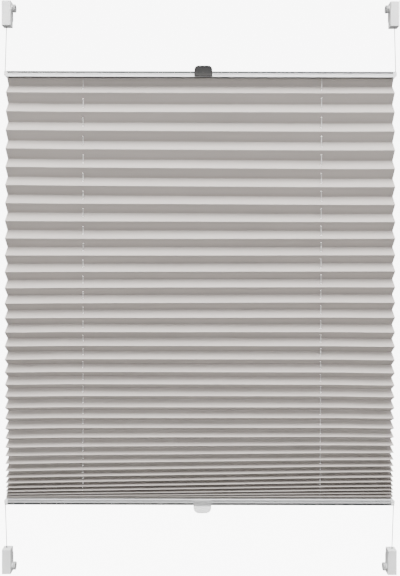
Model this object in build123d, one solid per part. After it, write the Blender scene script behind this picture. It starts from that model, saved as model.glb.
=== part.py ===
from build123d import *
import os
from math import cos, pi, radians, sin, sqrt

# Pleated blind held on two tensioned cords between four clamp brackets.
# Millimetres. X runs across the blind, Z runs up, and the room side faces -Y.
# X = 0 is the middle of the blind, Y = 0 is the plane of the cords, Z = 0 is the lowest bracket face.

# --- driving dimensions -------------------------------------------------------------------------
rail_width = 600.0            # end to end over the cap edges
blind_height = 882.4          # lowest bracket face to highest bracket face
upper_rail_drop = 117.5       # bracket top down to the upper rail's lipped face
lower_rail_rise = 117.4       # bracket bottom up to the lower rail's lipped face

rail_depth = 19.0
rail_height = 9.3
rail_wall = 1.1
rail_slot = 7.0               # opening between the two lips
rail_groove_height = 2.0
rail_groove_depth = 0.35
rail_groove_offset = 3.7      # groove centre from the lipped face
rail_edge_fillet = 0.9

cap_flange = 5.0
cap_plug_length = 12.0
cap_fit = 0.12
cap_overlap = 0.5             # joins the flange of a cap to its plug and nose
cap_nose = 2.7                # how far the rounded nose stands past the cap edge
cap_nose_radius = 3.2
cap_corner = 2.4

strip_thickness = 1.2
strip_hold = 1.7              # how far the strip reaches behind each lip
strip_seat = 0.15
strip_end_gap = 1.0           # strip and fabric edge end before the cap plugs
strip_hole_gap = 0.4

cord_diameter = 1.2
cord_bore_gap = 0.35          # free space around a cord in caps, guides and housings
cord_turn = 3.0               # bend of the cord where a guide turns it
cord_easy_bend = 20.0         # bend where it slants into a bracket, in cord diameters
cord_depth = 3.2              # cord run below a rail's outer face
cord_end_out = 1.1            # where a cord leaves a rail, past the cap edge
cord_slant = 2.1              # how much nearer the middle it enters a bracket
cord_hole_left_inset = 119.0  # punched holes from the cap edges
cord_hole_right_inset = 113.0
cord_pass = 1.2               # sideways offset that lets the two cords pass inside a rail

guide_length = 14.0
guide_depth = 10.0
guide_fit = 0.12
guide_fillet = 1.0
guide_room = 0.1              # extra room round the cords

fabric_inset = 2.0            # fabric edge inside the cap edge
fabric_thickness = 0.3
pleat_leg = 20.0              # fold to fold, along the fabric
pleat_count = 35              # folds on the room side
packed_pitch = 2.5            # pleat height where they lie closed, above the lower rail
pleat_growth = 1.414          # how quickly the pleats open towards the upper rail
first_back_fold = 9.4         # below the upper rail
first_front_fold = 22.9       # below the upper rail
last_front_fold = 3.8         # above the lower rail
fabric_gap = 0.45
fabric_hole_gap = 0.35        # free space around a cord in the fabric

handle_width = 27.5
handle_x = 4.5
handle_wall = 1.3
handle_lap = 6.6              # how far the handle reaches over the rail's outer face
handle_fit = 0.1
upper_tongue = 8.0
lower_tongue = 11.2
tongue_lean = 1.4
tongue_corner = 0.78          # rounding of the tongue's corners, in tongue lengths
lap_hook = 0.2                # rounding of the step where the handle folds over the rail
grip_taper = 2.0              # height over which the grip's lower edge thins
grip_edge = 0.45              # thickness left at that edge, in handle walls
lap_edge = 0.7                # thickness of the lap's end, in handle walls
grip_bend = 1.5               # below the rail's outer face, where the tongue starts to lean
grip_corner = 1.6
dish_depth = 0.45
dish_rim = 1.5                # flat rim round the dish

housing_width = 13.4
housing_height = 38.0
housing_depth = 15.0
housing_wall = 1.4
housing_offset = 1.1          # bracket middle, nearer the blind's middle than its cord
housing_fillet = 0.7

base_thickness = 3.3
base_inset = 1.2
base_top_inset = 0.2
base_corner = 1.2
base_rim = 1.1
base_rim_height = 1.2
base_rim_gap = 0.2
pad_thickness = 1.2
pad_inset = 0.6
pad_corner = 1.5
pad_screw_gap = 1.2           # pad's end to the screw head
pad_hook_gap = 2.0            # pad's end to the hook's arm

wheel_radius = 6.1
wheel_thickness = 3.9
wheel_from_end = 9.2          # wheel axis from the bracket's outer face
wheel_grooves = 24
wheel_groove_radius = 0.45
wheel_gap = 0.2
wheel_chamfer = 0.4
wheel_dish = 0.5
wheel_dish_share = 0.62       # radius of the dished face, in wheel radii
shaft_share = 0.7             # depth of the shaft in the wheel, in wheel thicknesses
collar_radius = 4.4
collar_length = 1.6
drum_radius = 1.9
drum_flange_radius = 3.6
drum_flange = 0.8
drum_end_gap = 0.4            # drum flange to the rim of the back plate
drum_side_room = 3.0          # housing wall to the turns of the cord, on each side
shaft_radius = 1.6
pivot_radius = 1.1
pivot_depth = 0.8
pivot_end_gap = 0.1
running_gap = 0.06
press_overlap = 0.02
cord_gap = 0.1
cord_wraps = 270.0            # degrees of cord on the drum

hook_side_inset = 2.7         # hook edge inside the housing's side
hook_thickness = 2.4
hook_room = 0.3               # arm's end to the housing's front wall
hook_leg = 22.0
hook_from_end = 2.0
hook_fit = 0.15
hook_bend = 0.8               # outer rounding of the hook, in thicknesses
hook_notches = 9
hook_notch_pitch = 1.7
hook_notch_width = 0.8
hook_notch_depth = 0.5
hook_notch_start = 1.5
hook_notch_inset = 1.2
jaw_gap = 5.0                 # sash thickness that the closed clamp takes
hook_pad_thickness = 1.0
hook_pad_inset = 0.6
hook_pad_corner = 1.2

screw_radius = 0.9
screw_length = 10.5
screw_head_radius = 1.9
screw_from_inner_end = 6.6
screw_head_height = 1.0
screw_head_seat = 0.05        # head below the back plate's face
screw_head_gap = 0.1
screw_sink = 1.2
screw_hole_gap = 0.2
screw_tip_gap = 0.5
screw_slot = (2.4, 0.8, 0.5)
screw_boss_radius = 1.8
screw_boss_gap = 0.3
screw_boss_wall_gap = 0.4
screw_gap = 0.06

# --- places worked out from them ------------------------------------------------------------------
upper_rail_z = blind_height - upper_rail_drop
lower_rail_z = lower_rail_rise
half_width = rail_width / 2
fabric_width = rail_width - 2 * fabric_inset
cord_bore = cord_diameter + 2 * cord_bore_gap
cord_rise = rail_height - cord_depth
cord_end_x = half_width + cord_end_out
cord_bracket_x = cord_end_x - cord_slant
cord_hole_left = cord_hole_left_inset - half_width
cord_hole_right = half_width - cord_hole_right_inset
fabric_hole_radius = cord_diameter / 2 + fabric_hole_gap
strip_half_width = rail_slot / 2 + strip_hold
housing_x = cord_bracket_x - housing_offset
drum_width = housing_width - 2 * housing_wall - 2 * drum_side_room
hook_width = housing_width - 2 * hook_side_inset
hook_reach = housing_depth / 2 - housing_wall - hook_room
profile_half = half_width - cap_flange
strip_z = rail_wall + strip_seat
guide_z = strip_z + strip_thickness + strip_seat
guide_top = rail_height - rail_wall - guide_fit
mid_z = blind_height / 2
drum_y = drum_radius + cord_gap + cord_diameter / 2
wheel_z = blind_height - wheel_from_end
housing_inner_z = blind_height - housing_height
housing_out_x = housing_x + housing_width / 2
housing_in_x = housing_x - housing_width / 2
base_back_y = housing_depth / 2 + base_thickness
sash_y = base_back_y + pad_thickness
jaw_y = sash_y + jaw_gap
hook_top_z = blind_height - hook_from_end
screw_x = housing_in_x + housing_wall + screw_boss_radius + screw_boss_wall_gap
screw_z = housing_inner_z + screw_from_inner_end


def block(x0, x1, y0, y1, z0, z1):
    """A box between two opposite corners."""
    size = (abs(x1 - x0), abs(y1 - y0), abs(z1 - z0))
    middle = ((x0 + x1) / 2, (y0 + y1) / 2, (z0 + z1) / 2)
    return Pos(*middle) * Box(*size)


def rod_x(radius, x0, x1, y, z):
    """A cylinder along X."""
    return Pos((x0 + x1) / 2, y, z) * Rot(0, 90, 0) * Cylinder(radius, abs(x1 - x0))


def rod_y(radius, x, y0, y1, z):
    """A cylinder along Y."""
    return Pos(x, (y0 + y1) / 2, z) * Rot(90, 0, 0) * Cylinder(radius, abs(y1 - y0))


def rod_z(radius, x, y, z0, z1):
    """A cylinder along Z."""
    return Pos(x, y, (z0 + z1) / 2) * Cylinder(radius, abs(z1 - z0))


# --- cords ----------------------------------------------------------------------------------------
def cord_points(side):
    """Corners of one cord's route, from its upper drum to its lower one."""
    outer = side * cord_end_x
    hole = side * cord_bracket_x
    cross = cord_hole_right if side < 0 else cord_hole_left
    lane = side * cord_pass
    upper = upper_rail_z + cord_rise
    lower = lower_rail_z - cord_rise
    leave = rail_height + cord_diameter
    return [
        (hole, 0, wheel_z),
        (hole, 0, housing_inner_z),
        (outer, 0, upper_rail_z + leave),
        (outer, 0, upper),
        (cross, lane, upper),
        (cross, lane, lower),
        (outer, 0, lower),
        (outer, 0, lower_rail_z - leave),
        (hole, 0, blind_height - housing_inner_z),
        (hole, 0, blind_height - wheel_z),
    ]


def cord_radii():
    """One bend for each inner corner of a cord's route."""
    gentle = cord_easy_bend * cord_diameter
    return [gentle, gentle, cord_turn, cord_turn, cord_turn, cord_turn, gentle, gentle]


def cord_path(side):
    """Centre line of one cord between its two drums."""
    return FilletPolyline(*cord_points(side), radius=cord_radii())


def drum_turn(side, end):
    """Arc of the cord on a drum; end is 1 at the top and -1 at the bottom."""
    wrap = drum_y
    start = Vector(side * cord_bracket_x, 0, mid_z + end * (wheel_z - mid_z))
    centre = start + Vector(0, wrap, 0)

    def at(angle):
        return centre + Vector(0, -wrap * cos(radians(angle)), end * wrap * sin(radians(angle)))

    return ThreePointArc(start, at(cord_wraps / 2), at(cord_wraps))


def tube_along(path, radius):
    """A round tube along a path."""
    start = Plane(origin=path @ 0, z_dir=path % 0)
    return sweep(start * Circle(radius), path=path)


def make_cord(side):
    """One whole cord with its turns on both drums."""
    line = cord_path(side)
    run = tube_along(line, cord_diameter / 2)
    top = tube_along(drum_turn(side, 1), cord_diameter / 2)
    bottom = tube_along(drum_turn(side, -1), cord_diameter / 2)
    return run + top + bottom


def cord_clearance(side):
    """The space that one cord needs inside the end caps."""
    return tube_along(cord_path(side), cord_bore / 2)


# --- rails ----------------------------------------------------------------------------------------
def profile_outline():
    """Closed section of the upper rail about its lipped face, in Y and Z."""
    half = rail_depth / 2
    shell = Rectangle(rail_depth, rail_height, align=(Align.CENTER, Align.MIN))
    shell = fillet(shell.vertices(), rail_edge_fillet)
    inner_size = (rail_depth - 2 * rail_wall, rail_height - 2 * rail_wall)
    room = Pos(0, rail_wall) * Rectangle(*inner_size, align=(Align.CENTER, Align.MIN))
    slot = Rectangle(rail_slot, 2 * rail_wall + 0.2)
    section = shell - room - slot
    low = rail_groove_offset - rail_groove_height / 2
    high = rail_groove_offset + rail_groove_height / 2
    for face_side in (-1, 1):
        groove = Polyline(
            (face_side * (half + 0.1), low - rail_groove_depth),
            (face_side * (half - rail_groove_depth), low),
            (face_side * (half - rail_groove_depth), high),
            (face_side * (half + 0.1), high + rail_groove_depth),
            close=True,
        )
        section -= make_face(groove)
    return section


def along_x(section, x0, x1):
    """A section drawn in Y and Z, extruded from x0 to x1."""
    drawn = Plane(origin=(x0, 0, 0), x_dir=(0, 1, 0), z_dir=(1, 0, 0)) * section
    return extrude(drawn, amount=x1 - x0, dir=(1, 0, 0))


def cap_outline():
    """Plan of an end cap's flange, in X and Y, for the cap at +X."""
    half = rail_depth / 2
    plate = Pos(profile_half + cap_flange / 2, 0) * Rectangle(cap_flange, rail_depth)
    plate = fillet(plate.vertices().group_by(Axis.X)[-1], rail_edge_fillet)
    centre = half_width + cap_nose - cap_nose_radius
    nose = Pos(centre, 0) * Circle(cap_nose_radius)
    bridge_x = profile_half + cap_overlap
    bridge = Pos((bridge_x + centre) / 2, 0) * Rectangle(centre - bridge_x, 2 * cap_nose_radius)
    return plate + nose + bridge


def make_cap(side):
    """End cap of the upper rail, about the lipped face."""
    flange = extrude(cap_outline(), amount=rail_height)
    cut_x = profile_half + cap_flange
    corner = Polyline(
        (cut_x - cap_corner, -0.1),
        (cut_x + cap_nose + 1, -0.1),
        (cut_x + cap_nose + 1, cap_corner + cap_nose + 1),
        (cut_x, cap_corner),
        close=True,
    )
    wedge = Plane(origin=(0, rail_depth, 0), x_dir=(1, 0, 0), z_dir=(0, -1, 0)) * make_face(corner)
    flange -= extrude(wedge, amount=2 * rail_depth, dir=(0, -1, 0))
    plug_half = rail_depth / 2 - rail_wall - cap_fit
    plug = block(
        profile_half - cap_plug_length, profile_half + cap_overlap,
        -plug_half, plug_half,
        rail_wall + cap_fit, rail_height - rail_wall - cap_fit,
    )
    cap = flange + plug
    if side < 0:
        cap = mirror(cap, about=Plane.YZ)
    return cap


def make_strip():
    """Strip that keeps the fabric's edge behind the lips."""
    half_length = profile_half - cap_plug_length - strip_end_gap
    strip = block(
        -half_length, half_length,
        -strip_half_width, strip_half_width,
        strip_z, strip_z + strip_thickness,
    )
    for hole_x, lane in ((cord_hole_left, cord_pass), (cord_hole_right, -cord_pass)):
        strip -= rod_z(cord_bore / 2 + strip_hole_gap, hole_x, lane, 0, rail_height)
    return strip


def make_guide(side):
    """Block that turns one cord out of the rail and lets the other cord pass beside it."""
    hole_x, other_hole_x = cord_hole_left, cord_hole_right
    if side > 0:
        hole_x, other_hole_x = other_hole_x, hole_x
    turn_y = -side * cord_pass
    share = (cord_end_x - abs(hole_x)) / (cord_end_x + abs(other_hole_x))
    pass_y = -turn_y * share
    body = block(
        hole_x - guide_length / 2, hole_x + guide_length / 2,
        -guide_depth / 2, guide_depth / 2,
        guide_z, guide_top,
    )
    body = fillet(body.edges().filter_by(Axis.Z), guide_fillet)
    reach = cord_bore / 2 + guide_room
    body -= block(
        hole_x - guide_length, hole_x + guide_length,
        min(turn_y, pass_y) - reach, max(turn_y, pass_y) + reach,
        cord_rise - reach, cord_rise + reach,
    )
    body -= block(
        hole_x + side * reach, hole_x - side * (cord_turn + reach),
        turn_y - reach, turn_y + reach,
        0, cord_rise,
    )
    return body


def make_handle(tongue):
    """Clip-on finger grip of the upper rail, about the lipped face, with a shallow dish in its front."""
    front = -rail_depth / 2 - handle_fit
    low = rail_edge_fillet
    top = rail_height + handle_fit
    tip = rail_height + tongue
    lap_back = front + handle_wall + handle_lap
    face_y = front - handle_wall
    section = Polyline(
        (front, low),
        (front, top),
        (lap_back, top),
        (lap_back, top + handle_wall * lap_edge),
        (front - lap_hook, top + handle_wall),
        (front - tongue_lean, tip),
        (face_y - tongue_lean, tip),
        (face_y, rail_height - grip_bend),
        (face_y, low + grip_taper),
        (front - handle_wall * grip_edge, low),
        close=True,
    )
    half = handle_width / 2
    solid = along_x(make_face(section), -half, half)
    height = tip - low
    face = Rectangle(handle_width, height, align=(Align.CENTER, Align.MIN))
    face = fillet(face.vertices().group_by(Axis.Y)[-1], tongue * tongue_corner)
    face = fillet(face.vertices().group_by(Axis.Y)[0], grip_corner)
    mask = Plane(origin=(0, 0, low), x_dir=(1, 0, 0), z_dir=(0, -1, 0))
    solid = solid & extrude(mask * face, amount=2 * rail_depth, both=True)
    bend_share = (tip - dish_rim - rail_height + grip_bend) / (tongue + grip_bend)
    dish_top_y = face_y - tongue_lean * bend_share
    dish = Polyline(
        (face_y + dish_depth, low + grip_taper),
        (face_y + dish_depth, rail_height - grip_bend),
        (dish_top_y + dish_depth, tip - dish_rim),
        (dish_top_y - 1, tip - dish_rim),
        (face_y - 1, low + grip_taper),
        close=True,
    )
    dish_half = half - dish_rim
    pocket = along_x(make_face(dish), -dish_half, dish_half)
    dish_face = Rectangle(2 * dish_half, height - 2 * dish_rim, align=(Align.CENTER, Align.MIN))
    dish_face = fillet(dish_face.vertices().group_by(Axis.Y)[-1], tongue * tongue_corner - dish_rim)
    pocket = pocket & extrude(Pos(0, 0, dish_rim) * mask * dish_face, amount=2 * rail_depth, both=True)
    return Pos(handle_x, 0, 0) * (solid - pocket)


# --- fabric ---------------------------------------------------------------------------------------
def front_folds():
    """Heights of the room-side folds, from the top down."""
    top = upper_rail_z - first_front_fold
    bottom = lower_rail_z + last_front_fold
    steps = pleat_count - 1
    shares = [1 - ((k + 0.5) / steps) ** pleat_growth for k in range(steps)]
    opening = (top - bottom - steps * packed_pitch) / sum(shares)
    heights = [top]
    for share in shares:
        heights.append(heights[-1] - packed_pitch - opening * share)
    return heights


def fold_points():
    """Folds of the fabric from the upper rail to the lower one, as (y, z)."""
    fronts = front_folds()
    backs = [upper_rail_z - first_back_fold]
    backs += [(a + b) / 2 for a, b in zip(fronts, fronts[1:])]
    heights = []
    for back, front in zip(backs, fronts):
        heights += [back, front]
    points = [(0, upper_rail_z - fabric_gap)]
    for k, height in enumerate(heights):
        above = heights[k - 1] if k else 2 * height - heights[1]
        below = heights[k + 1] if k + 1 < len(heights) else 2 * height - above
        drop = (above - below) / 2
        reach = sqrt(pleat_leg ** 2 - drop ** 2) / 2
        points.append((reach if k % 2 == 0 else -reach, height))
    points.append((0, lower_rail_z + fabric_gap))
    return points


def folded_outline(points, thickness):
    """Closed outline of a folded sheet: mitred inside each fold, blunt outside it."""
    half = thickness / 2
    vectors = [Vector(y, z) for y, z in points]
    steps = [(b - a).normalized() for a, b in zip(vectors, vectors[1:])]
    normals = [Vector(-s.Y, s.X) for s in steps]
    left = [vectors[0] + normals[0] * half]
    right = [vectors[0] - normals[0] * half]
    for k in range(1, len(vectors) - 1):
        before = normals[k - 1]
        after = normals[k]
        mitre = (before + after) * (half / (1 + before.dot(after)))
        turn = steps[k - 1].X * steps[k].Y - steps[k - 1].Y * steps[k].X
        if turn > 0:
            left.append(vectors[k] + mitre)
            right += [vectors[k] - before * half, vectors[k] - after * half]
        else:
            right.append(vectors[k] - mitre)
            left += [vectors[k] + before * half, vectors[k] + after * half]
    left.append(vectors[-1] + normals[-1] * half)
    right.append(vectors[-1] - normals[-1] * half)
    return left + right[::-1]


def make_fabric():
    """The pleated sheet with its punched holes and its two edges in the rail slots."""
    outline = folded_outline(fold_points(), fabric_thickness)
    section = make_face(Polyline(*[(p.X, p.Y) for p in outline], close=True))
    fabric = along_x(section, -fabric_width / 2, fabric_width / 2)
    edge_half = profile_half - cap_plug_length - strip_end_gap
    doubled = (-fabric_thickness, fabric_thickness)
    edge_top = upper_rail_z + strip_z - 2 * strip_seat
    edge_bottom = lower_rail_z - strip_z + 2 * strip_seat
    fabric += block(-edge_half, edge_half, *doubled, upper_rail_z - 2 * fabric_gap, edge_top)
    fabric += block(-edge_half, edge_half, *doubled, lower_rail_z + 2 * fabric_gap, edge_bottom)
    drill_z = (lower_rail_z - rail_height, upper_rail_z + rail_height)
    for hole_x, lane in ((cord_hole_left, cord_pass), (cord_hole_right, -cord_pass)):
        fabric -= rod_z(fabric_hole_radius, hole_x, lane, *drill_z)
    return fabric


# --- brackets: each piece is drawn for the upper right bracket ------------------------------------
def make_housing():
    """Bracket housing, open at the back, with the collar of the wheel."""
    y0 = -housing_depth / 2
    y1 = housing_depth / 2
    shell = block(housing_in_x, housing_out_x, y0, y1, housing_inner_z, blind_height)
    keep = shell.edges().group_by(Axis.Y)[0]
    shell = fillet(keep, housing_fillet)
    w = housing_wall
    shell -= block(
        housing_in_x + w, housing_out_x - w,
        y0 + w, y1 + 1,
        housing_inner_z + w, blind_height - w,
    )
    shell += rod_x(collar_radius, housing_in_x - collar_length, housing_in_x + w / 2, drum_y, wheel_z)
    shaft_hole = shaft_radius + running_gap
    shell -= rod_x(shaft_hole, housing_in_x - collar_length - 1, housing_in_x + w + 1, drum_y, wheel_z)
    pivot_hole = pivot_radius + running_gap
    pivot_end = housing_out_x - w + pivot_depth + pivot_end_gap
    shell -= rod_x(pivot_hole, housing_out_x - w - 1, pivot_end, drum_y, wheel_z)
    shell -= rod_z(cord_bore / 2, cord_bracket_x, 0, housing_inner_z - 1, housing_inner_z + w + 1)
    boss_end = y1 - base_rim_height
    shell += rod_y(screw_boss_radius, screw_x, y0 + w / 2, boss_end, screw_z)
    screw_hole_end = base_back_y - screw_length - screw_tip_gap
    shell -= rod_y(screw_radius + screw_gap, screw_x, screw_hole_end, boss_end + 1, screw_z)
    return shell


def make_base():
    """Back plate of a bracket, with the slot that guides the hook."""
    y0 = housing_depth / 2
    x0 = housing_in_x + base_inset
    x1 = housing_out_x - base_inset
    plate = block(x0, x1, y0, base_back_y, housing_inner_z + base_inset, blind_height - base_top_inset)
    plate = fillet(plate.edges().filter_by(Axis.Y), base_corner)
    gap = housing_wall + base_rim_gap
    rim_x = (housing_in_x + gap, housing_out_x - gap)
    rim_z = (housing_inner_z + gap, hook_top_z - hook_thickness - 2 * hook_fit - base_rim_gap)
    rim = block(*rim_x, y0 - base_rim_height, y0 + base_thickness / 2, *rim_z)
    t = base_rim
    rim -= block(rim_x[0] + t, rim_x[1] - t, 0, y0, rim_z[0] + t, rim_z[1] - t)
    rim -= block(*rim_x, 0, y0, wheel_z - drum_flange_radius - drum_end_gap, blind_height)
    base = plate + rim
    base -= rod_y(screw_boss_radius + screw_boss_gap, screw_x, 0, y0, screw_z)
    slot_half = hook_width / 2 + hook_fit
    base -= block(
        housing_x - slot_half, housing_x + slot_half,
        0, base_back_y + 1,
        hook_top_z - hook_thickness - hook_fit, hook_top_z + hook_fit,
    )
    base -= rod_y(screw_radius + screw_hole_gap, screw_x, 0, base_back_y + 1, screw_z)
    sink = Pos(screw_x, base_back_y - screw_sink / 2, screw_z) * Rot(-90, 0, 0)
    base -= sink * Cone(screw_radius + screw_hole_gap, screw_head_radius + screw_head_gap, screw_sink)
    return base


def make_sash_pad():
    """Soft pad between the bracket and the window sash."""
    x0 = housing_in_x + base_inset + pad_inset
    x1 = housing_out_x - base_inset - pad_inset
    z0 = screw_z + screw_head_radius + pad_screw_gap
    z1 = hook_top_z - hook_thickness - pad_hook_gap
    pad = block(x0, x1, base_back_y, sash_y, z0, z1)
    return fillet(pad.edges().filter_by(Axis.Y), pad_corner)


def make_hook():
    """Hook that reaches over the sash and behind it."""
    x0 = housing_x - hook_width / 2
    x1 = housing_x + hook_width / 2
    back = jaw_y + hook_pad_thickness + hook_thickness
    arm = block(x0, x1, -hook_reach, back, hook_top_z - hook_thickness, hook_top_z)
    leg = block(x0, x1, back - hook_thickness, back, hook_top_z - hook_leg, hook_top_z)
    hook = arm + leg
    corner = hook.edges().filter_by(Axis.X).group_by(Axis.Y)[-1].group_by(Axis.Z)[-1]
    hook = fillet(corner, hook_thickness * hook_bend)
    for k in range(hook_notches):
        y = -hook_reach + hook_notch_start + k * hook_notch_pitch
        hook -= block(
            x0 + hook_notch_inset, x1 - hook_notch_inset,
            y, y + hook_notch_width,
            hook_top_z - hook_notch_depth, hook_top_z + 1,
        )
    return hook


def make_hook_pad():
    """Soft pad on the hook's leg."""
    inset = hook_pad_inset
    x0 = housing_x - hook_width / 2 + inset
    x1 = housing_x + hook_width / 2 - inset
    z0 = hook_top_z - hook_leg + inset
    z1 = hook_top_z - hook_thickness - inset
    pad = block(x0, x1, jaw_y, jaw_y + hook_pad_thickness, z0, z1)
    return fillet(pad.edges().filter_by(Axis.Y), hook_pad_corner)


def make_drum():
    """Cord drum with its shaft and pivot in one turning piece."""
    inner = cord_bracket_x - drum_width / 2
    outer = cord_bracket_x + drum_width / 2
    pivot_end = housing_out_x - housing_wall + pivot_depth
    shaft_end = housing_in_x - collar_length - wheel_gap - wheel_thickness * shaft_share
    drum = rod_x(drum_radius, inner, outer, drum_y, wheel_z)
    drum += rod_x(drum_flange_radius, inner - drum_flange, inner, drum_y, wheel_z)
    drum += rod_x(drum_flange_radius, outer, outer + drum_flange, drum_y, wheel_z)
    drum += rod_x(pivot_radius, outer, pivot_end, drum_y, wheel_z)
    drum += rod_x(shaft_radius, shaft_end, inner, drum_y, wheel_z)
    return drum


def make_wheel():
    """Grooved finger wheel pressed on the drum's shaft."""
    outer = housing_in_x - collar_length - wheel_gap
    inner = outer - wheel_thickness
    wheel = rod_x(wheel_radius, inner, outer, drum_y, wheel_z)
    wheel = chamfer(wheel.edges().filter_by(GeomType.CIRCLE), wheel_chamfer)
    for k in range(wheel_grooves):
        turn = 2 * pi * k / wheel_grooves
        y = drum_y + wheel_radius * cos(turn)
        z = wheel_z + wheel_radius * sin(turn)
        wheel -= rod_x(wheel_groove_radius, inner - 1, outer + 1, y, z)
    wheel -= rod_x(wheel_radius * wheel_dish_share, inner - 1, inner + wheel_dish, drum_y, wheel_z)
    bore_end = outer - wheel_thickness * shaft_share - pivot_end_gap
    wheel -= rod_x(shaft_radius - press_overlap, bore_end, outer + 1, drum_y, wheel_z)
    return wheel


def make_screw():
    """Countersunk screw that joins the back plate to the housing."""
    tip = base_back_y - screw_length
    head_y = base_back_y - screw_head_seat - screw_head_height / 2
    head = Pos(screw_x, head_y, screw_z) * Rot(-90, 0, 0)
    screw = rod_y(screw_radius, screw_x, tip, head_y, screw_z)
    screw += head * Cone(screw_radius, screw_head_radius, screw_head_height)
    for turn in (0, 90):
        bar = Rot(0, turn, 0) * Box(*screw_slot)
        screw -= Pos(screw_x, base_back_y - screw_head_seat, screw_z) * bar
    return screw


def to_corner(piece, side, end):
    """Turn a piece of the upper right bracket into that of another corner."""
    if side < 0:
        piece = mirror(piece, about=Plane.YZ)
    if end < 0:
        piece = mirror(piece, about=Plane(origin=(0, 0, mid_z), z_dir=(0, 0, 1)))
    return piece


def to_rail(piece, end):
    """Set a piece drawn about a lipped face on the upper or the lower rail."""
    if end > 0:
        return Pos(0, 0, upper_rail_z) * piece
    return Pos(0, 0, lower_rail_z) * mirror(piece, about=Plane.XY)


# --- assembly -------------------------------------------------------------------------------------
parts = {}
ends = (("upper", 1, upper_tongue), ("lower", -1, lower_tongue))
sides = (("left", -1), ("right", 1))
channels = {side: cord_clearance(side) for _, side in sides}

for end_name, end, tongue in ends:
    profile = along_x(profile_outline(), -profile_half, profile_half)
    parts[f"{end_name}_rail"] = to_rail(profile, end)
    parts[f"{end_name}_fabric_strip"] = to_rail(make_strip(), end)
    parts[f"{end_name}_handle"] = to_rail(make_handle(tongue), end)
    for side_name, side in sides:
        parts[f"{end_name}_end_cap_{side_name}"] = to_rail(make_cap(side), end) - channels[side]
        parts[f"{end_name}_cord_guide_{side_name}"] = to_rail(make_guide(side), end)

bracket_pieces = {
    "housing": make_housing(),
    "clamp_base": make_base(),
    "sash_pad": make_sash_pad(),
    "clamp_hook": make_hook(),
    "hook_pad": make_hook_pad(),
    "cord_drum": make_drum(),
    "tension_wheel": make_wheel(),
}
screw = make_screw()
screws = []
for end_name, end in (("upper", 1), ("lower", -1)):
    for side_name, side in sides:
        for piece_name, piece in bracket_pieces.items():
            parts[f"{piece_name}_{end_name}_{side_name}"] = to_corner(piece, side, end)
        screws.append(to_corner(screw, side, end))
parts["bracket_screws"] = Compound(children=[s.solid() for s in screws])

for side_name, side in sides:
    parts[f"cord_{side_name}"] = make_cord(side)
parts["pleated_fabric"] = make_fabric()

os.makedirs("parts", exist_ok=True)
for name, shape in parts.items():
    export_step(shape, f"parts/{name}.step")

for side_name, side in sides:
    wraps = drum_turn(side, 1).length + drum_turn(side, -1).length
    length = cord_path(side).length + wraps
    section = pi * cord_diameter ** 2 / 4
    volume = parts[f"cord_{side_name}"].volume
    print("cord", side_name, "length", round(length, 1), "bends", cord_radii())
    print("volume", round(volume, 1), "section x length", round(section * length, 1))
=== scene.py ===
import math

import bmesh
import bpy
import numpy as np
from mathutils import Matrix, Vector


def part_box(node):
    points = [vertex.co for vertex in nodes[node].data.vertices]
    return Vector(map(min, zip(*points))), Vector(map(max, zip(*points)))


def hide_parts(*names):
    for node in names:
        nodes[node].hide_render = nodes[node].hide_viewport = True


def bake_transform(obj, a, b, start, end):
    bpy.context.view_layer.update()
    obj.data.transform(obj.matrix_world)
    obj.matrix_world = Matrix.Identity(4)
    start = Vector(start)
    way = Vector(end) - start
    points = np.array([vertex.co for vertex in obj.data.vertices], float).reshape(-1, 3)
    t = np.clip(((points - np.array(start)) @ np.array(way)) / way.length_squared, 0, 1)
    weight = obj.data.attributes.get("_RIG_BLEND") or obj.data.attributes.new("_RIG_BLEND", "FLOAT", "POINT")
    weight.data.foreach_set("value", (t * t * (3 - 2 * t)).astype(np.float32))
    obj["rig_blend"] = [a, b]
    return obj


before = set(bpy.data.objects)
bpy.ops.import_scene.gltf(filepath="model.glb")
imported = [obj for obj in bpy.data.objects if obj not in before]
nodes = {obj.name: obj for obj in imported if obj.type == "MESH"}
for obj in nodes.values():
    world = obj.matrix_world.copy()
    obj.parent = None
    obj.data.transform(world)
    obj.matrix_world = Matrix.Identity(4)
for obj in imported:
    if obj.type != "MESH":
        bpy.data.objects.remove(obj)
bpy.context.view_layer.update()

MM = 0.001

# --- places read from the frame, in metres --------------------------------------------------------
upper_rail_low, upper_rail_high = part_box("upper_rail")
lower_rail_low, lower_rail_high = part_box("lower_rail")
housing_low, housing_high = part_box("housing_upper_left")
fabric_low, fabric_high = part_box("pleated_fabric")
upper_face_z = upper_rail_low.z
lower_face_z = lower_rail_high.z
upper_outer_z = upper_rail_high.z
lower_outer_z = lower_rail_low.z
bracket_top_z = housing_high.z
bracket_inner_z = housing_low.z
mid_z = bracket_top_z / 2
rail_height = 9.3 * MM
rail_travel = 0.3             # how far each rail slides towards mid height

# --- camera ---------------------------------------------------------------------------------------
camera_data = bpy.data.cameras.new("camera")
camera = bpy.data.objects.new("camera", camera_data)
bpy.context.scene.collection.objects.link(camera)
camera_data.sensor_width = 36.0
camera_data.lens = 44.36
camera_data.shift_y = -0.0453
camera_data.clip_start = 0.05
camera_data.clip_end = 50.0
camera.location = (0.0, -1.0975, 0.4934)
camera.rotation_mode = "XYZ"
camera.rotation_euler = (math.radians(90 - 0.57), math.radians(-0.13), 0.0)
bpy.context.scene.camera = camera


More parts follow.
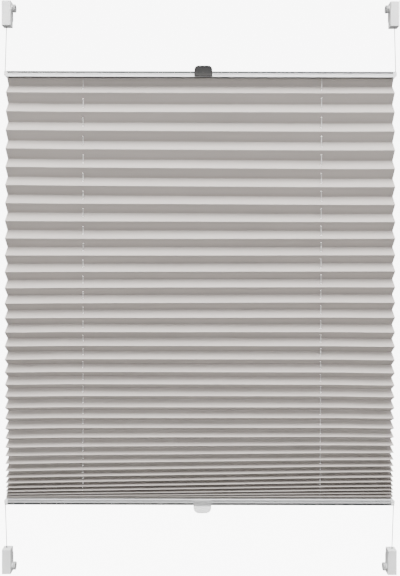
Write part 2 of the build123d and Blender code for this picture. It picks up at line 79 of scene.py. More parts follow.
# --- material helpers -----------------------------------------------------------------------------
class Paint:
    """A procedural material under construction."""

    def __init__(self, name):
        self.material = bpy.data.materials.new(name)
        self.material.use_nodes = True
        self.tree = self.material.node_tree
        self.shader = self.tree.nodes["Principled BSDF"]
        self.coords = self.node("ShaderNodeTexCoord").outputs["Object"]

    def node(self, kind, **values):
        made = self.tree.nodes.new(kind)
        for key, value in values.items():
            setattr(made, key, value)
        return made

    def link(self, source, target):
        self.tree.links.new(source, target)

    def set(self, **values):
        for key, value in values.items():
            self.shader.inputs[key.replace("_", " ")].default_value = value

    def noise(self, scale, detail=2.0, rough=0.5, stretch=None):
        """Noise over the object's own place; stretch scales its three axes."""
        coords = self.coords
        if stretch:
            mapping = self.node("ShaderNodeMapping")
            mapping.inputs["Scale"].default_value = stretch
            self.link(coords, mapping.inputs["Vector"])
            coords = mapping.outputs["Vector"]
        texture = self.node("ShaderNodeTexNoise")
        texture.inputs["Scale"].default_value = scale
        texture.inputs["Detail"].default_value = detail
        texture.inputs["Roughness"].default_value = rough
        self.link(coords, texture.inputs["Vector"])
        return texture.outputs["Fac"]

    def ramp(self, source, stops):
        """Colour ramp with stops as (position, colour)."""
        ramp = self.node("ShaderNodeValToRGB")
        elements = ramp.color_ramp.elements
        while len(elements) < len(stops):
            elements.new(0.5)
        for element, (position, colour) in zip(elements, stops):
            element.position = position
            element.color = (*colour, 1.0)
        self.link(source, ramp.inputs["Fac"])
        return ramp.outputs["Color"]

    def spread(self, source, low, high):
        """Map 0.3-0.7 of a noise to low-high."""
        node = self.node("ShaderNodeMapRange")
        node.inputs["From Min"].default_value = 0.3
        node.inputs["From Max"].default_value = 0.7
        node.inputs["To Min"].default_value = low
        node.inputs["To Max"].default_value = high
        self.link(source, node.inputs["Value"])
        return node.outputs["Result"]

    def math(self, operation, a, b=None):
        node = self.node("ShaderNodeMath", operation=operation)
        for socket, value in zip(node.inputs, (a, b)):
            if value is None:
                continue
            if isinstance(value, (int, float)):
                socket.default_value = value
            else:
                self.link(value, socket)
        return node.outputs["Value"]

    def mix(self, share, low, high, blend_type="MIX"):
        """Colour low where share is 0 and high where it is 1."""
        node = self.node("ShaderNodeMix", data_type="RGBA", blend_type=blend_type)
        factor, a, b = node.inputs[0], node.inputs[6], node.inputs[7]      # its sockets for colours
        if isinstance(share, float):
            factor.default_value = share
        else:
            self.link(share, factor)
        self.link(low, a)
        self.link(high, b)
        return node.outputs[2]

    def axis(self, name):
        """One axis of the object's own place."""
        split = self.node("ShaderNodeSeparateXYZ")
        self.link(self.coords, split.inputs["Vector"])
        return split.outputs[name]

    def bump(self, height, strength, distance):
        bump = self.node("ShaderNodeBump")
        bump.inputs["Strength"].default_value = strength
        bump.inputs["Distance"].default_value = distance
        self.link(height, bump.inputs["Height"])
        self.link(bump.outputs["Normal"], self.shader.inputs["Normal"])

    def colour(self, source):
        self.link(source, self.shader.inputs["Base Color"])

    def roughness(self, source):
        self.link(source, self.shader.inputs["Roughness"])


def tint(colour, share):
    """The colour, darker or paler by a share."""
    return tuple(c * share for c in colour)


def plain_plastic(name, colour, rough, grain=900.0, variation=0.035):
    """Moulded plastic: slight mottling, a fine spark-eroded grain and uneven gloss."""
    paint = Paint(name)
    paint.colour(paint.ramp(paint.noise(60.0, 3.0), [
        (0.3, tint(colour, 1 - variation)), (0.7, tint(colour, 1 + variation)),
    ]))
    paint.roughness(paint.spread(paint.noise(140.0, 2.0), rough - 0.06, rough + 0.06))
    paint.bump(paint.noise(grain, 3.0), 0.25, 0.0001)
    return paint.material


def rail_paint(name, colour, line, painted_lip, edge_z, face_z, up):
    """Powder-coated rail with a line along its outer edge, at edge_z, and a thin band along its lipped face,
    at face_z, in a colour that is painted shade on the upper rail and a painted highlight on the lower one.
    """
    paint = Paint(name)
    height = paint.axis("Z")
    reach = 10 * MM               # the ramps below run from 0 to 1 over this height
    line_width = 3.3 * MM / reach
    lip_width = 0.6 * MM / reach
    blur = 0.1 * MM / reach
    from_edge = paint.math("MULTIPLY", paint.math("SUBTRACT", height, edge_z), -up / reach)
    band = paint.ramp(from_edge, [
        (line_width - blur, (0.0, 0.0, 0.0)), (line_width + blur, (1.0, 1.0, 1.0)),
    ])
    mottled = paint.ramp(paint.noise(35.0, 3.0), [
        (0.3, tint(colour, 0.975)), (0.7, tint(colour, 1.02)),
    ])
    lined = paint.ramp(paint.noise(90.0, 3.0, stretch=(0.1, 1.0, 1.0)), [
        (0.3, tint(line, 0.93)), (0.7, tint(line, 1.06)),
    ])
    coat = paint.mix(band, lined, mottled)
    # The band along the lipped face is painted light: near-black painted shade under the upper rail, a pale
    # painted highlight along the lower rail's top edge.
    from_face = paint.math("MULTIPLY", paint.math("SUBTRACT", height, face_z), up / reach)
    painted_lip_band = paint.ramp(from_face, [(lip_width, (1.0, 1.0, 1.0)), (lip_width + blur, (0.0, 0.0, 0.0))])
    lipped = paint.ramp(paint.noise(90.0, 3.0), [
        (0.3, tint(painted_lip, 0.9)), (0.7, tint(painted_lip, 1.1)),
    ])
    paint.colour(paint.mix(painted_lip_band, coat, lipped))
    gloss = paint.spread(paint.noise(200.0, 2.0), 0.34, 0.44)
    matt_line = paint.math("MULTIPLY", paint.math("SUBTRACT", 1.0, band), 0.5)
    paint.roughness(paint.math("ADD", gloss, matt_line))
    paint.bump(paint.noise(1400.0, 2.0), 0.15, 0.0001)
    return paint.material


def fabric_paint():
    """Plain-woven polyester: yarns in the bump, slubs and mottling in the colour, painted shade darkening it
    towards the back folds, wear and a painted highlight on the front ones, and some light let through."""
    paint = Paint("pleated_cloth")
    cloth = (0.535, 0.494, 0.465)
    slubs = paint.noise(180.0, 4.0, 0.6, stretch=(0.08, 1.0, 1.0))
    broad = paint.noise(9.0, 3.0)
    uneven = paint.math("ADD", paint.math("MULTIPLY", slubs, 0.6), paint.math("MULTIPLY", broad, 0.4))
    even = paint.ramp(uneven, [(0.35, tint(cloth, 0.965)), (0.65, tint(cloth, 1.03))])
    place = paint.node("ShaderNodeAttribute", attribute_name="pleat_place").outputs["Fac"]
    # Painted shade: the colour darkens towards each back fold, where the crease lies in shade; right at the
    # front fold it brightens again, wear and a painted highlight.
    crease_shade_and_edge_highlight = paint.ramp(place, [
        (0.0, (0.60, 0.60, 0.60)), (0.3, (0.73, 0.73, 0.73)), (0.65, (0.80, 0.80, 0.80)),
        (0.95, (0.80, 0.80, 0.80)), (1.0, (1.0, 1.0, 1.0)),
    ])
    shaded = paint.mix(1.0, even, crease_shade_and_edge_highlight, blend_type="MULTIPLY")
    paint.colour(shaded)
    paint.roughness(paint.spread(slubs, 0.78, 0.92))
    yarn_pitch = 0.45 * MM
    yarn = 2 * math.pi / yarn_pitch
    weft = paint.math("SINE", paint.math("MULTIPLY", paint.axis("X"), yarn))
    along = paint.math("ADD", paint.axis("Z"), paint.math("MULTIPLY", paint.axis("Y"), 0.8))
    warp = paint.math("SINE", paint.math("MULTIPLY", along, yarn))
    weave = paint.math("ADD", paint.math("MULTIPLY", weft, warp), paint.math("MULTIPLY", slubs, 1.5))
    paint.bump(weave, 0.12, 0.0001)
    paint.set(Sheen_Weight=0.08, Sheen_Roughness=0.5)
    paint.set(Specular_IOR_Level=0.2)
    through = paint.node("ShaderNodeBsdfTranslucent")
    paint.link(shaded, through.inputs["Color"])
    share_let_through = 0.145
    both = paint.node("ShaderNodeMixShader")
    both.inputs["Fac"].default_value = share_let_through
    paint.link(paint.shader.outputs["BSDF"], both.inputs[1])
    paint.link(through.outputs["BSDF"], both.inputs[2])
    surface = paint.tree.nodes["Material Output"].inputs["Surface"]
    paint.link(both.outputs["Shader"], surface)
    return paint.material


def cord_paint():
    """Braided polyester cord, pale in the fabric and darkened by painted shade where it hangs bare beside
    the blind.
    """
    paint = Paint("braided_cord")
    threads = paint.noise(700.0, 3.0)
    bare_from = 280 * MM
    blur = 10 * MM
    aside = paint.math("ABSOLUTE", paint.axis("X"))
    # Painted shade: past bare_from the same pale cord is coloured near black.
    bare = paint.ramp(aside, [(bare_from - blur, (0.0, 0.0, 0.0)), (bare_from + blur, (1.0, 1.0, 1.0))])
    pale = paint.ramp(threads, [(0.3, (0.60, 0.595, 0.59)), (0.7, (0.74, 0.735, 0.73))])
    bare_painted_shade = paint.ramp(threads, [(0.3, (0.07, 0.07, 0.07)), (0.7, (0.10, 0.10, 0.10))])
    paint.colour(paint.mix(bare, pale, bare_painted_shade))
    paint.roughness(paint.spread(paint.noise(900.0, 2.0), 0.6, 0.8))
    braid_pitch = 1.2 * MM
    turns = 2 * math.pi / braid_pitch
    rising = paint.math("ADD", paint.axis("Z"), paint.axis("X"))
    falling = paint.math("SUBTRACT", paint.axis("Z"), paint.axis("X"))
    left = paint.math("SINE", paint.math("MULTIPLY", rising, turns))
    right = paint.math("SINE", paint.math("MULTIPLY", falling, turns))
    paint.bump(paint.math("MAXIMUM", left, right), 0.4, 0.00015)
    return paint.material


def clear_plastic(name, low_tint, high_tint, low_z, high_z, alpha_low, alpha_high, rough, edge=0.0):
    """Tinted see-through plastic, its colour and alpha blending from one setting at low_z to another at
    high_z. edge makes its edges denser.
    """
    paint = Paint(name)
    place = paint.node("ShaderNodeMapRange")
    place.inputs["From Min"].default_value = low_z
    place.inputs["From Max"].default_value = high_z
    paint.link(paint.axis("Z"), place.inputs["Value"])
    share = place.outputs["Result"]
    paint.colour(paint.ramp(share, [(0.0, low_tint), (1.0, high_tint)]))
    alpha = paint.node("ShaderNodeMapRange")
    alpha.inputs["To Min"].default_value = alpha_low
    alpha.inputs["To Max"].default_value = alpha_high
    paint.link(share, alpha.inputs["Value"])
    if edge:
        facing = paint.node("ShaderNodeLayerWeight")
        facing.inputs["Blend"].default_value = 0.5
        denser = paint.math("MULTIPLY", facing.outputs["Facing"], edge)
        summed = paint.math("ADD", alpha.outputs["Result"], denser)
        paint.link(paint.math("MINIMUM", summed, 0.97), paint.shader.inputs["Alpha"])
    else:
        paint.link(alpha.outputs["Result"], paint.shader.inputs["Alpha"])
    paint.set(Specular_IOR_Level=0.3)
    paint.roughness(paint.spread(paint.noise(220.0, 3.0), rough - 0.05, rough + 0.07))
    paint.bump(paint.noise(500.0, 2.0), 0.1, 0.0001)
    return paint.material


def zinc(name):
    """Zinc-plated steel with fine turning marks."""
    paint = Paint(name)
    paint.colour(paint.ramp(paint.noise(300.0, 3.0), [
        (0.3, (0.45, 0.45, 0.46)), (0.7, (0.62, 0.62, 0.62)),
    ]))
    paint.roughness(paint.spread(paint.noise(800.0, 2.0), 0.28, 0.42))
    paint.bump(paint.noise(2500.0, 2.0, stretch=(1.0, 0.2, 1.0)), 0.2, 0.0001)
    paint.set(Metallic=1.0)
    return paint.material


white_plastic = plain_plastic("white_plastic", (0.86, 0.86, 0.86), rough=0.42)
bracket_plastic = plain_plastic("bracket_plastic", (0.81, 0.81, 0.805), rough=0.48)
natural_plastic = plain_plastic("natural_plastic", (0.70, 0.69, 0.66), rough=0.5)
grey_plastic = plain_plastic("wheel_plastic", (0.42, 0.42, 0.42), rough=0.5, grain=1200.0)
soft_pad = plain_plastic("soft_pad", (0.62, 0.62, 0.61), rough=0.7, grain=500.0, variation=0.05)
hook_coat = plain_plastic("hook_coat", (0.74, 0.74, 0.73), rough=0.4, grain=1500.0, variation=0.03)
screw_zinc = zinc("zinc_screw")
cloth_material = fabric_paint()
cord_material = cord_paint()

materials_by_start = {
    # Upper rail: the near-black band along its lipped face is painted shade under the rail.
    "upper_rail": rail_paint(
        "upper_rail_coat", colour=(0.91, 0.91, 0.91), line=(0.085, 0.085, 0.085), painted_lip=(0.02, 0.02, 0.02),
        edge_z=upper_outer_z, face_z=upper_face_z, up=1),
    # Lower rail: the same white coat as the upper rail, painted mid grey as painted shade; its edge line is
    # darker than the upper rail's as painted shade, and the pale band along its lipped face is a painted
    # highlight.
    "lower_rail": rail_paint(
        "lower_rail_painted_shade", colour=(0.36, 0.36, 0.362), line=(0.02, 0.02, 0.02), painted_lip=(0.62, 0.62, 0.62),
        edge_z=lower_outer_z, face_z=lower_face_z, up=-1),
    "upper_fabric_strip": natural_plastic,
    "lower_fabric_strip": natural_plastic,
    # Both handles are one grey see-through plastic: the upper one's near-black tint is painted shade and the
    # painted reflection of darker surroundings, the lower one's pale tint is painted light.
    "upper_handle": clear_plastic(
        "upper_handle_painted_shade", low_tint=(0.07, 0.068, 0.066), high_tint=(0.022, 0.0215, 0.021),
        low_z=upper_face_z + 1 * MM, high_z=upper_outer_z + 1 * MM,
        alpha_low=0.86, alpha_high=0.97, rough=0.22),
    "lower_handle": clear_plastic(
        "clear_plastic", low_tint=(0.42, 0.42, 0.42), high_tint=(0.55, 0.55, 0.545),
        low_z=lower_outer_z - 11 * MM, high_z=lower_face_z,
        alpha_low=0.62, alpha_high=0.55, rough=0.18, edge=0.7),
    "upper_end_cap": white_plastic,
    "lower_end_cap": white_plastic,
    "upper_cord_guide": natural_plastic,
    "lower_cord_guide": natural_plastic,
    "housing": bracket_plastic,
    "clamp_base": bracket_plastic,
    "clamp_hook": hook_coat,
    "sash_pad": soft_pad,
    "hook_pad": soft_pad,
    "cord_drum": natural_plastic,
    "tension_wheel": grey_plastic,
    "bracket_screws": screw_zinc,
}
for node_name, node in nodes.items():
    for start, material in materials_by_start.items():
        if node_name.startswith(start):
            node.data.materials.clear()
            node.data.materials.append(material)


# --- pieces that stretch between the brackets and a rail ------------------------------------------
def follow(piece, rail, weights):
    """Let a piece reach from the brackets to a rail, moving each point by its own share of the travel."""
    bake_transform(piece, "brackets", rail, start=(0, 0, mid_z), end=(0, 0, mid_z + 0.1))
    attribute = piece.data.attributes["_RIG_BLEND"]
    attribute.data.foreach_set("value", np.clip(weights, 0, 1).astype(np.float32))


def new_piece(name, verts, faces, material):
    """A smooth-shaded mesh object in the scene."""
    mesh = bpy.data.meshes.new(name)
    mesh.from_pydata([tuple(v) for v in verts], [], faces)
    mesh.materials.append(material)
    mesh.polygons.foreach_set("use_smooth", [True] * len(mesh.polygons))
    mesh.update()
    piece = bpy.data.objects.new(name, mesh)
    bpy.context.scene.collection.objects.link(piece)
    return piece


# --- fabric: the folds of the blind ---------------------------------------------------------------
leg = 20.0 * MM
pleat_count = 35
packed_pitch = 2.5 * MM
pleat_growth = 1.414
first_back = upper_face_z - 9.4 * MM
first_front = upper_face_z - 22.9 * MM
last_front = lower_face_z + 3.8 * MM
slot_gap = 0.45 * MM
half_fabric = (fabric_high.x - fabric_low.x) / 2
cord_pass = 1.2 * MM            # how far behind or in front of the folds' middle a cord runs
hole_places = ((-181 * MM, cord_pass), (187 * MM, -cord_pass))
hole_radius = 0.85 * MM
hole_cell = 4 * MM              # the mesh's columns this far to each side of a hole shape it
hole_clear = 6 * MM             # and no other column comes this near
column_count = 57


def front_heights():
    """The front folds from the top down, ever closer together."""
    steps = pleat_count - 1
    shares = [1 - ((k + 0.5) / steps) ** pleat_growth for k in range(steps)]
    opening = (first_front - last_front - steps * packed_pitch) / sum(shares)
    heights = [first_front]
    for share in shares:
        heights.append(heights[-1] - packed_pitch - opening * share)
    return heights


def fold_heights():
    """Every fold from the top down: back, front, back, front ..."""
    fronts = front_heights()
    backs = [first_back] + [(a + b) / 2 for a, b in zip(fronts, fronts[1:])]
    folds = []
    for back, front in zip(backs, fronts):
        folds += [back, front]
    return np.array(folds)


def bell(value, centre, width):
    """1 at the centre, falling off smoothly to both sides."""
    return np.exp(-((value - centre) / width) ** 2)


# Where the folds slope: by how many mm, round which pleat from the top, and over how many.
tilts = ((-2.2, 4.5, 3.0), (2.8, 11.0, 3.4), (11.0, 29.2, 5.4))


def tilt_at(pleat):
    """How much higher the right end of a fold lies than its left end."""
    return sum(lift * bell(pleat, centre, width) for lift, centre, width in tilts) * MM


folds = fold_heights()
fold_total = len(folds)
spread_columns = [
    round(x, 5) for x in np.linspace(-half_fabric, half_fabric, column_count)
    if all(abs(x - hole_x) > hole_clear for hole_x, _ in hole_places)
]
near_holes = [round(hole_x + side * hole_cell, 5) for hole_x, _ in hole_places for side in (-1, 0, 1)]
across = np.array(sorted(set(spread_columns + near_holes)))
hole_columns = {}
for hole_x, lane in hole_places:
    hole_columns[int(np.argmin(abs(across - hole_x)))] = (hole_x, lane)

span = upper_face_z - lower_face_z
open_drop = 9 * MM              # a fold this far below the one above it waves and sways freely
wave_height = 0.16 * MM
sway_depth = 0.35 * MM
upper_ease = 30 * MM            # nearer a rail than these, a fold lies ever more level
lower_ease = 6 * MM
least_drop = 0.75 * MM
free_side = 195 * MM            # the fabric bows forward beyond this, away from the cords
bow_depth = 7.5 * MM


def fold_lines():
    """Place of every fold at each column, as arrays of y and z of shape (fold, column)."""
    side = across / half_fabric
    rows_z = []
    for k, height in enumerate(folds):
        pleat = (k - 1) / 2
        ease = min(1.0, (upper_face_z - height) / upper_ease, (height - lower_face_z) / lower_ease)
        ease = max(0.0, ease)
        wave = wave_height * math.sin(1.7 * k + 0.4) * np.sin(2.6 * side + 0.9 * k)
        room = min(1.0, (folds[k - 1] - height if k else open_drop) / open_drop) ** 3
        rows_z.append(height + ease * tilt_at(pleat) * side / 2 + ease * room * wave)
    rows_z = np.array(rows_z)
    for k in range(fold_total - 2, -1, -1):   # a lower fold never rises past the one above it
        drop = least_drop * (1 if k < fold_total - 2 else 0.8)
        rows_z[k] = np.maximum(rows_z[k], rows_z[k + 1] + drop)
    rows_y = []
    for k in range(fold_total):
        above = rows_z[k - 1] if k else rows_z[0] + (rows_z[0] - rows_z[1])
        below = rows_z[k + 1] if k + 1 < fold_total else rows_z[k] - (rows_z[k - 1] - rows_z[k])
        drop = (above - below) / 2
        reach = np.sqrt(np.maximum(leg ** 2 - drop ** 2, 1e-9)) / 2
        room = min(1.0, abs(folds[max(k - 1, 0)] - folds[k]) / open_drop)
        sway = sway_depth * room * np.sin(3.1 * side + 1.3 * k)
        rows_y.append((reach if k % 2 == 0 else -reach) + sway)
    rows_y = np.array(rows_y)
    height_share = np.clip((rows_z - lower_face_z) / span, 0, 1)
    free = np.clip((abs(across) - free_side) / (half_fabric - free_side), 0, 1)
    bow = bow_depth * np.sin(math.pi * height_share) * (free * free * (3 - 2 * free))
    return rows_y - bow, rows_z


fold_y, fold_z = fold_lines()
crease = 0.55 * MM              # how far the fold's rounding starts from its line
crease_place = 0.03             # how far that is along a leg, for its shade
blunt = 0.16 * MM               # how much the rounding cuts off the fold's tip
leg_shares = (0.18, 0.36, 0.5, 0.64, 0.82)
leg_sag = 0.14 * MM             # how far a level leg hangs down between its folds
held_edge = 1.0 * MM            # how far the fabric's edge reaches into a rail


def sheet_rows(first, last):
    """Rows of points from one fold to another, each as (y, z, kind, place).
    kind is "hole" for a row with holes. place counts folds from the top, even ones at the back."""
    rows = []
    for k in range(first, last):
        y, z = fold_y[k], fold_z[k]
        run_y, run_z = fold_y[k + 1] - y, fold_z[k + 1] - z
        length = np.sqrt(run_y ** 2 + run_z ** 2)
        cut = crease / length
        inward = blunt * (1 if k % 2 == 0 else -1)
        rows.append((y - inward, z, None, k))
        rows.append((y + run_y * cut, z + run_z * cut, None, k + crease_place))
        for share in leg_shares:
            sag = leg_sag * math.sin(math.pi * share) * abs(run_y / length)
            kind = "hole" if share == 0.5 else None
            rows.append((y + run_y * share, z + run_z * share - sag, kind, k + share))
        rows.append((
            fold_y[k + 1] - run_y * cut, fold_z[k + 1] - run_z * cut, None, k + 1 - crease_place,
        ))
    inward = blunt * (1 if last % 2 == 0 else -1)
    rows.append((fold_y[last] - inward, fold_z[last], None, last))
    return rows


def end_rows(rail_z, fold, up):
    """Half leg from the slot of a rail to the nearest fold, with the edge that the strip holds."""
    hidden = [(0.0, rail_z + up * held_edge), (0.0, rail_z - up * slot_gap)]
    rows = [(np.full(len(across), y), np.full(len(across), z), None, fold - up / 2) for y, z in hidden]
    slot_y, slot_z = rows[-1][0], rows[-1][1]
    for share in (0.3, 0.6, 0.88):
        y = slot_y + (fold_y[fold] - slot_y) * share
        z = slot_z + (fold_z[fold] - slot_z) * share
        rows.append((y, z, None, fold + up * (share - 1) / 2))
    return rows


def hole_centre(rows, r, c):
    """Where the cord of column c passes the leg at row r, and the leg's direction there."""
    hole_x, lane = hole_columns[c]
    y, z = rows[r - 1][0][c], rows[r - 1][1][c]
    run_y, run_z = rows[r + 1][0][c] - y, rows[r + 1][1][c] - z
    run = Vector((0, run_y, run_z))
    share = (lane - y) / run_y if abs(run_y) > 1e-6 else 0.5
    return Vector((hole_x, y, z)) + run * min(max(share, 0.3), 0.7), run.normalized()


def build_sheet(name, rows):
    """Grid of the rows with a punched hole where each cord passes a leg."""
    verts = []
    places = []
    grid = []
    for y, z, _, place in rows:
        grid.append(list(range(len(verts), len(verts) + len(across))))
        verts += list(zip(across, y, z))
        forward = 1 - abs(1 - place % 2)       # 0 in a fold at the back, 1 in one at the front
        places += [forward] * len(across)
    holes = {(r, c) for r, row in enumerate(rows) if row[2] == "hole" for c in hole_columns}
    faces = []
    for r in range(len(rows) - 1):
        for c in range(len(across) - 1):
            corners = [(r, c), (r + 1, c), (r + 1, c + 1), (r, c + 1)]
            if not any(corner in holes for corner in corners):
                faces.append(tuple(grid[row][column] for row, column in corners))
    round_hole = [(-1, -1), (0, -1), (1, -1), (1, 0), (1, 1), (0, 1), (-1, 1), (-1, 0)]
    for r, c in sorted(holes):
        centre, run = hole_centre(rows, r, c)
        outer = [grid[r + down][c + right] for down, right in round_hole]
        inner = []
        for down, right in round_hole:
            direction = (run * down + Vector((right, 0, 0))).normalized()
            inner.append(len(verts))
            verts.append(tuple(centre + direction * hole_radius))
            places.append(0.5)
        for i in range(len(round_hole)):
            j = (i + 1) % len(round_hole)
            faces.append((outer[i], outer[j], inner[j], inner[i]))
    used = sorted({v for f in faces for v in f})
    index = {v: i for i, v in enumerate(used)}
    kept_verts = [verts[v] for v in used]
    kept_faces = [tuple(index[v] for v in f) for f in faces]
    piece = new_piece(name, kept_verts, kept_faces, cloth_material)
    place = piece.data.attributes.new("pleat_place", "FLOAT", "POINT")
    place.data.foreach_set("value", [places[v] for v in used])
    bm = bmesh.new()
    bm.from_mesh(piece.data)
    bmesh.ops.recalc_face_normals(bm, faces=bm.faces)
    bm.to_mesh(piece.data)
    bm.free()
    return piece


middle_fold = int(np.argmin(abs(folds - mid_z)))
upper_rows = end_rows(upper_face_z, 0, 1) + sheet_rows(0, middle_fold)
lower_rows = sheet_rows(middle_fold, fold_total - 1) + end_rows(lower_face_z, fold_total - 1, -1)[::-1]

upper_sheet = build_sheet("fabric_upper", upper_rows)
lower_sheet = build_sheet("fabric_lower", lower_rows)
end_leg = 0.6                   # the shorter leg at a rail and the edge in its slot, as a share of a leg


def closing_weights(piece, rail_z, travel):
    """Shares of a rail's travel that close every pleat to the same height."""
    z = np.array([v.co.z for v in piece.data.vertices])
    start = folds[middle_fold]
    marks = [start]
    places = [0.0]
    if rail_z > start:
        crossed = list(range(middle_fold - 1, -1, -1))
    else:
        crossed = list(range(middle_fold + 1, fold_total))
    for i, k in enumerate(crossed):
        marks.append(folds[k])
        places.append(i + 1.0)
    marks.append(rail_z)
    places.append(len(crossed) + end_leg)
    closed_height = abs(rail_z - start) - travel
    outward = math.copysign(1, rail_z - start)
    targets = [start + outward * closed_height * place / places[-1] for place in places]
    shares = [(target - mark) / (-outward * travel) for target, mark in zip(targets, marks)]
    marks, shares = np.array(marks), np.array(shares)
    rising = np.argsort(marks)
    return np.interp(z, marks[rising], shares[rising])


for sheet, rail, rail_z in (
    (upper_sheet, "upper_rail", upper_face_z),
    (lower_sheet, "lower_rail", lower_face_z),
):
    follow(sheet, rail, closing_weights(sheet, rail_z, rail_travel))
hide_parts("pleated_fabric")

# --- cords ----------------------------------------------------------------------------------------
cord_radius = 0.6 * MM
cord_step = 0.8 * MM            # between the rings of a cord's mesh
rail_depth_in = 6.1 * MM        # from a rail's lipped face to the cord inside it
exit_rise = 1.0 * MM            # from a rail's outer face to the bend where a cord leaves its end
drum_depth = 9.2 * MM           # from the far end of a bracket to the drum's axis
drum_z = bracket_top_z - drum_depth
drum_wrap = 2.6 * MM            # from the drum's axis to the middle of the cord on it
wrap_points = 11
wrap_out = 1.04                 # the line cuts inside its points, so they stand a little out
outer_x = 301.1 * MM
bracket_x = 299.0 * MM
beside_x = 290.0 * MM           # past this a cord is at the blind's end, not in the fabric
near_edge = 6.0 * MM            # from a gentle bend to the points that shape it
near_turn = 3.0 * MM            # the same for a tight turn at a guide
bracket_share = 12 * MM         # below a bracket by less than this, a point of a cord goes with it
rail_share = 8 * MM             # but not within this of a rail


def toward(a, b, distance):
    """The point at a distance from a on the way to b."""
    a, b = Vector(a), Vector(b)
    return a + (b - a).normalized() * distance


def upper_route(side):
    """Control points of a cord from its drum in the upper bracket to the middle of the fabric."""
    hole = side * bracket_x
    outer = side * outer_x
    cross, lane = (hole_places[1] if side < 0 else hole_places[0])
    run_z = upper_face_z + rail_depth_in
    exit_z = upper_face_z + rail_height + exit_rise
    turns = []
    for step in range(wrap_points, 0, -1):
        angle = math.radians(270 * step / wrap_points)
        y = drum_wrap * (1 - math.cos(angle)) * wrap_out
        z = drum_z + drum_wrap * math.sin(angle) * wrap_out
        turns.append(Vector((hole, y, z)))
    start = Vector((hole, 0, drum_z))
    hole_point = Vector((hole, 0, bracket_inner_z))
    exit_point = Vector((outer, 0, exit_z))
    corner = Vector((outer, 0, run_z))
    turn = Vector((cross, lane, run_z))
    end = Vector((cross, lane, folds[middle_fold]))
    return turns + [
        start,
        toward(hole_point, start, near_edge),
        hole_point,
        toward(hole_point, exit_point, near_edge),
        toward(exit_point, hole_point, near_edge),
        exit_point,
        toward(corner, exit_point, near_turn),
        corner,
        toward(corner, turn, near_turn),
        toward(turn, corner, near_turn),
        turn,
        toward(turn, end, near_turn),
        end,
    ]


def spline_points(route):
    """Points read from a smooth NURBS line through the route's control points."""
    curve = bpy.data.curves.new("route", "CURVE")
    curve.dimensions = "3D"
    spline = curve.splines.new("NURBS")
    spline.points.add(len(route) - 1)
    for point, place in zip(spline.points, route):
        point.co = (*place, 1.0)
    spline.order_u = 3
    spline.use_endpoint_u = True
    spline.resolution_u = 10
    holder = bpy.data.objects.new("route", curve)
    mesh = bpy.data.meshes.new_from_object(holder)
    points = [v.co.copy() for v in mesh.vertices]
    bpy.data.objects.remove(holder)
    bpy.data.curves.remove(curve)
    bpy.data.meshes.remove(mesh)
    return points


def resample(points, step):
    """The same line with evenly spaced points, and each point's distance along it."""
    given = np.array([tuple(v) for v in points])
    gaps = np.linalg.norm(np.diff(given, axis=0), axis=1)
    given = given[np.concatenate([[True], gaps > 1e-7])]      # without points that coincide
    gaps = np.linalg.norm(np.diff(given, axis=0), axis=1)
    distances = np.concatenate([[0], np.cumsum(gaps)])
    length = distances[-1]
    at = np.linspace(0, length, int(length / step) + 1)
    return np.stack([np.interp(at, distances, given[:, i]) for i in range(3)], axis=1), at


def braided_tube(name, line, at, material, strands=3, lay_length=5.0 * MM, sides=12):
    """A round cord of twisted strands along a line of points."""
    tangents = np.gradient(line, axis=0)
    tangents /= np.linalg.norm(tangents, axis=1)[:, None]
    normal = np.array([0.0, 1.0, 0.0]) if abs(tangents[0][1]) < 0.9 else np.array([1.0, 0.0, 0.0])
    verts = []
    for place, tangent, distance in zip(line, tangents, at):
        normal = normal - tangent * (normal @ tangent)
        normal = normal / np.linalg.norm(normal)
        other = np.cross(tangent, normal)
        twist = 2 * math.pi * distance / lay_length
        for s in range(sides):
            angle = 2 * math.pi * s / sides
            lobe = abs(math.cos(strands * (angle - twist) / 2))
            radius = cord_radius * (0.90 + 0.12 * lobe)
            verts.append(tuple(place + radius * (math.cos(angle) * normal + math.sin(angle) * other)))
    faces = []
    for r in range(len(line) - 1):
        for s in range(sides):
            t = (s + 1) % sides
            faces.append((r * sides + s, r * sides + t, (r + 1) * sides + t, (r + 1) * sides + s))
    faces.append(tuple(range(sides - 1, -1, -1)))
    faces.append(tuple(range((len(line) - 1) * sides, len(line) * sides)))
    return new_piece(name, verts, faces, material)


def cord_weights(piece, up, rail_z):
    """Share of a rail's travel along a cord: none at the bracket and mid-fabric, all inside the rail."""
    places = np.array([v.co for v in piece.data.vertices])
    bracket = bracket_inner_z if up > 0 else bracket_top_z - bracket_inner_z
    outer_z = rail_z + up * rail_height
    outside = abs(places[:, 0]) > beside_x
    outer_share = 1 - (places[:, 2] - outer_z) / (bracket - outer_z)
    inner_share = (places[:, 2] - folds[middle_fold]) / (rail_z - folds[middle_fold])
    return np.where(outside, np.clip(outer_share, 0, 1), np.clip(inner_share, 0, 1))


def lower_route(route):
    """The upper route mirrored: its bracket end about mid_z, the rest about halfway between the rails."""
    turned = [v.copy() for v in route]
    near_bracket = max(bracket_inner_z - bracket_share, upper_outer_z + rail_share)
    for v in turned[:-1]:
        if abs(v.x) > beside_x and v.z > near_bracket:
            v.z = bracket_top_z - v.z
        else:
            v.z = upper_face_z + lower_face_z - v.z
    return turned


for side_name, side in (("left", -1), ("right", 1)):
    route_up = upper_route(side)
    for end_name, up, rail, rail_z in (
        ("upper", 1, "upper_rail", upper_face_z),
        ("lower", -1, "lower_rail", lower_face_z),
    ):
        route = route_up if up > 0 else lower_route(route_up)
        line, at = resample(spline_points(route), cord_step)
        piece = braided_tube(f"cord_{side_name}_{end_name}", line, at, cord_material)
        follow(piece, rail, cord_weights(piece, up, rail_z))
        if up > 0:
            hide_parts(f"cord_{side_name}")


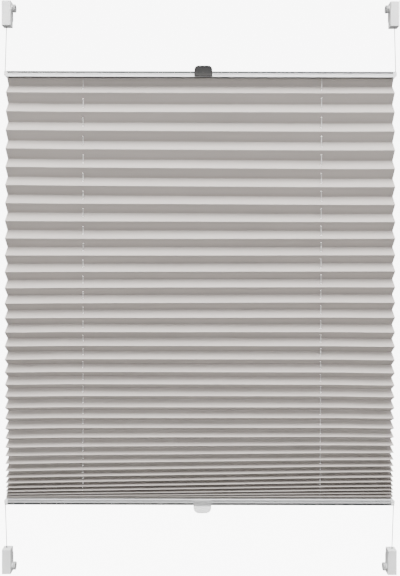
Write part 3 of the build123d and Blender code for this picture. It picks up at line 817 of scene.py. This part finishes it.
# --- studio ---------------------------------------------------------------------------------------
def make_stage():
    """Pale round floor that curves up into a pale wall all the way round."""
    floor_z = -0.42
    floor_radius = 4.0
    bend_radius = 1.2
    bend_steps = 8
    wall_top = 8.0
    sides = 64
    glow = 7.5
    profile = [(0.01, floor_z), (floor_radius, floor_z)]
    for step in range(1, bend_steps + 1):
        angle = math.radians(90 * step / bend_steps)
        radius = floor_radius + bend_radius * math.sin(angle)
        profile.append((radius, floor_z + bend_radius * (1 - math.cos(angle))))
    profile.append((floor_radius + bend_radius, wall_top))
    verts = []
    faces = []
    for i, (radius, z) in enumerate(profile):
        for s in range(sides):
            turn = 2 * math.pi * s / sides
            verts.append((radius * math.cos(turn), radius * math.sin(turn), z))
            if i:
                t = (s + 1) % sides
                low, high = (i - 1) * sides, i * sides
                faces.append((low + s, high + s, high + t, low + t))
    faces.append(tuple(range(sides)))
    paint = Paint("studio_white")
    paint.colour(paint.ramp(paint.noise(1.5, 2.0), [
        (0.3, (0.93, 0.93, 0.93)), (0.7, (0.95, 0.95, 0.95)),
    ]))
    paint.set(Roughness=0.9, Emission_Color=(1.0, 1.0, 1.0, 1.0), Emission_Strength=glow)
    cove = new_piece("studio_cove", verts, faces, paint.material)
    cove.visible_diffuse = False
    cove.visible_glossy = False
    cove.visible_shadow = False


def area_light(name, place, aim, size, power):
    """A rectangular light at a place, facing the aim."""
    data = bpy.data.lights.new(name, "AREA")
    data.shape = "RECTANGLE"
    data.size, data.size_y = size
    data.energy = power
    light = bpy.data.objects.new(name, data)
    light.location = place
    light.rotation_euler = (Vector(aim) - Vector(place)).to_track_quat("-Z", "Y").to_euler()
    bpy.context.scene.collection.objects.link(light)


make_stage()
world = bpy.data.worlds.new("studio")
bpy.context.scene.world = world
world.use_nodes = True
background = world.node_tree.nodes["Background"]
background.inputs["Color"].default_value = (1.0, 1.0, 1.0, 1.0)
background.inputs["Strength"].default_value = 0.36
blind_centre = (0.0, 0.0, 0.45)
area_light("key", (0.0, -1.6, 3.45), blind_centre, size=(3.4, 3.0), power=545.0)
area_light("front", (0.0, -3.2, 0.5), blind_centre, size=(3.0, 2.0), power=42.0)
